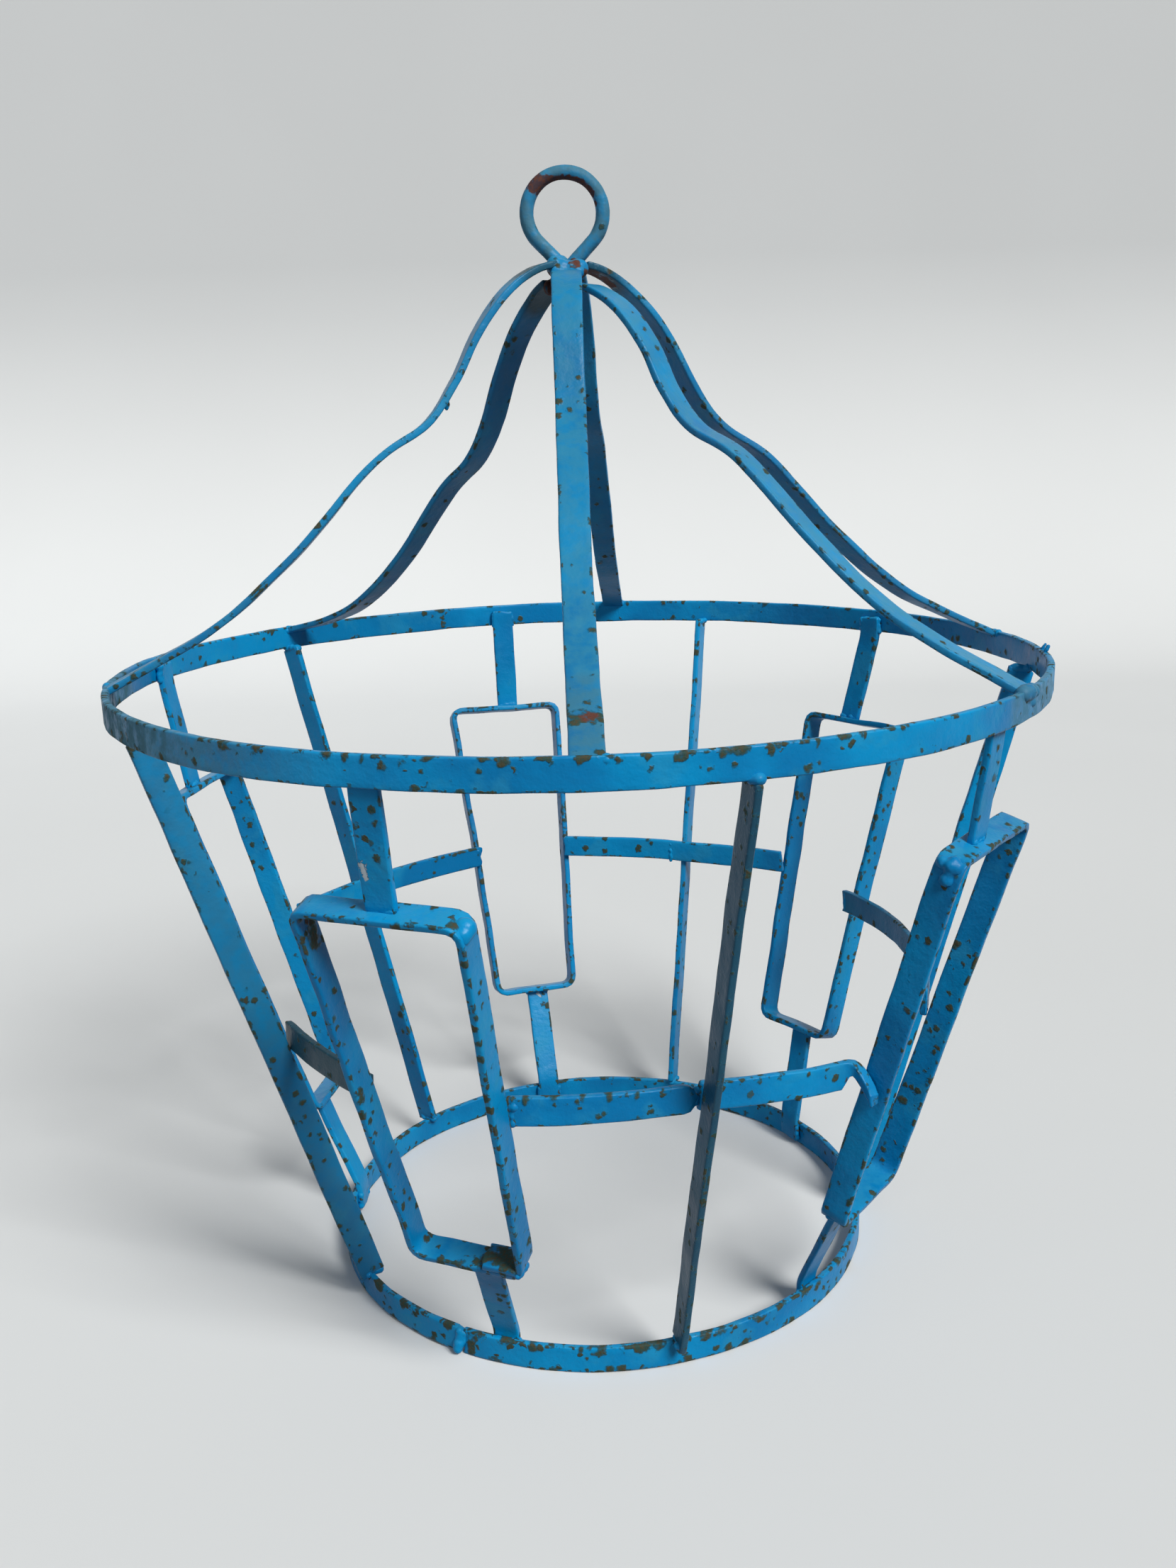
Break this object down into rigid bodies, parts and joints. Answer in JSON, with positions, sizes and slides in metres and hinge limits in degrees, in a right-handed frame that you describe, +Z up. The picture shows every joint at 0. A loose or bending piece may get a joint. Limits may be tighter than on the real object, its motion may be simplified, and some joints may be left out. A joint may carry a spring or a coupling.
{
  "type": "hanging basket",
  "caption": "Open bucket of welded flat-bar hoops and window frames under a domed crown of bent straps, hung by a round-rod eye.",
  "frame": {"origin": "under the centre of the rim, on the surface that the base hoop stands on", "axes": "+Z up, through the crown and the eye; -Y towards the front; the ring of the eye lies in the XZ plane"},
  "size_m": [0.3525, 0.348, 0.4175],
  "materials": {
    "hoop_paint": "hand-brushed gloss enamel in azure blue, chipped and speckled with rust along the edges",
    "frame_paint": "hand-brushed gloss enamel in azure blue over bent steel bar, worn at the corners",
    "lug_paint": "gloss enamel in azure blue, run thick over the weld beads, with small chips",
    "upright_paint": "gloss enamel in azure blue over flat steel bar on edge",
    "tie_paint": "gloss enamel in azure blue over flat steel bar with flame-cut ends",
    "strap_paint": "gloss enamel in azure blue over forged steel strap, paler and duller where it faces up",
    "hub_weld": "azure enamel over a lumpy weld, with rust showing through",
    "eye_paint": "azure enamel over round rod, worn through to dark rusty steel where the hook rubs"
  },
  "bodies": {
    "root": {"base_hoop": "hoop_paint", "eye": "eye_paint", "hub": "hub_weld", "leg_back_left": "lug_paint", "leg_back_right": "lug_paint", "leg_front_left": "lug_paint", "leg_front_right": "lug_paint", "leg_left": "lug_paint", "rim": "hoop_paint", "strap_back": "strap_paint", "strap_back_left": "strap_paint", "strap_back_right": "strap_paint", "strap_front": "strap_paint", "strap_front_right": "strap_paint", "strap_left": "strap_paint", "tab_back_left": "lug_paint", "tab_back_right": "lug_paint", "tab_front_left": "lug_paint", "tab_front_right": "lug_paint", "tab_left": "lug_paint", "tie_back": "tie_paint", "tie_back_left": "tie_paint", "tie_front_a": "tie_paint", "tie_front_b": "tie_paint", "tie_left": "tie_paint", "tie_right": "tie_paint", "upright_back": "upright_paint", "upright_back_left": "upright_paint", "upright_front": "upright_paint", "upright_left": "upright_paint", "upright_right": "upright_paint", "window_back_left": "frame_paint", "window_back_right": "frame_paint", "window_front_left": "frame_paint", "window_front_right": "frame_paint", "window_left": "frame_paint"}
  },
  "joints": []
}
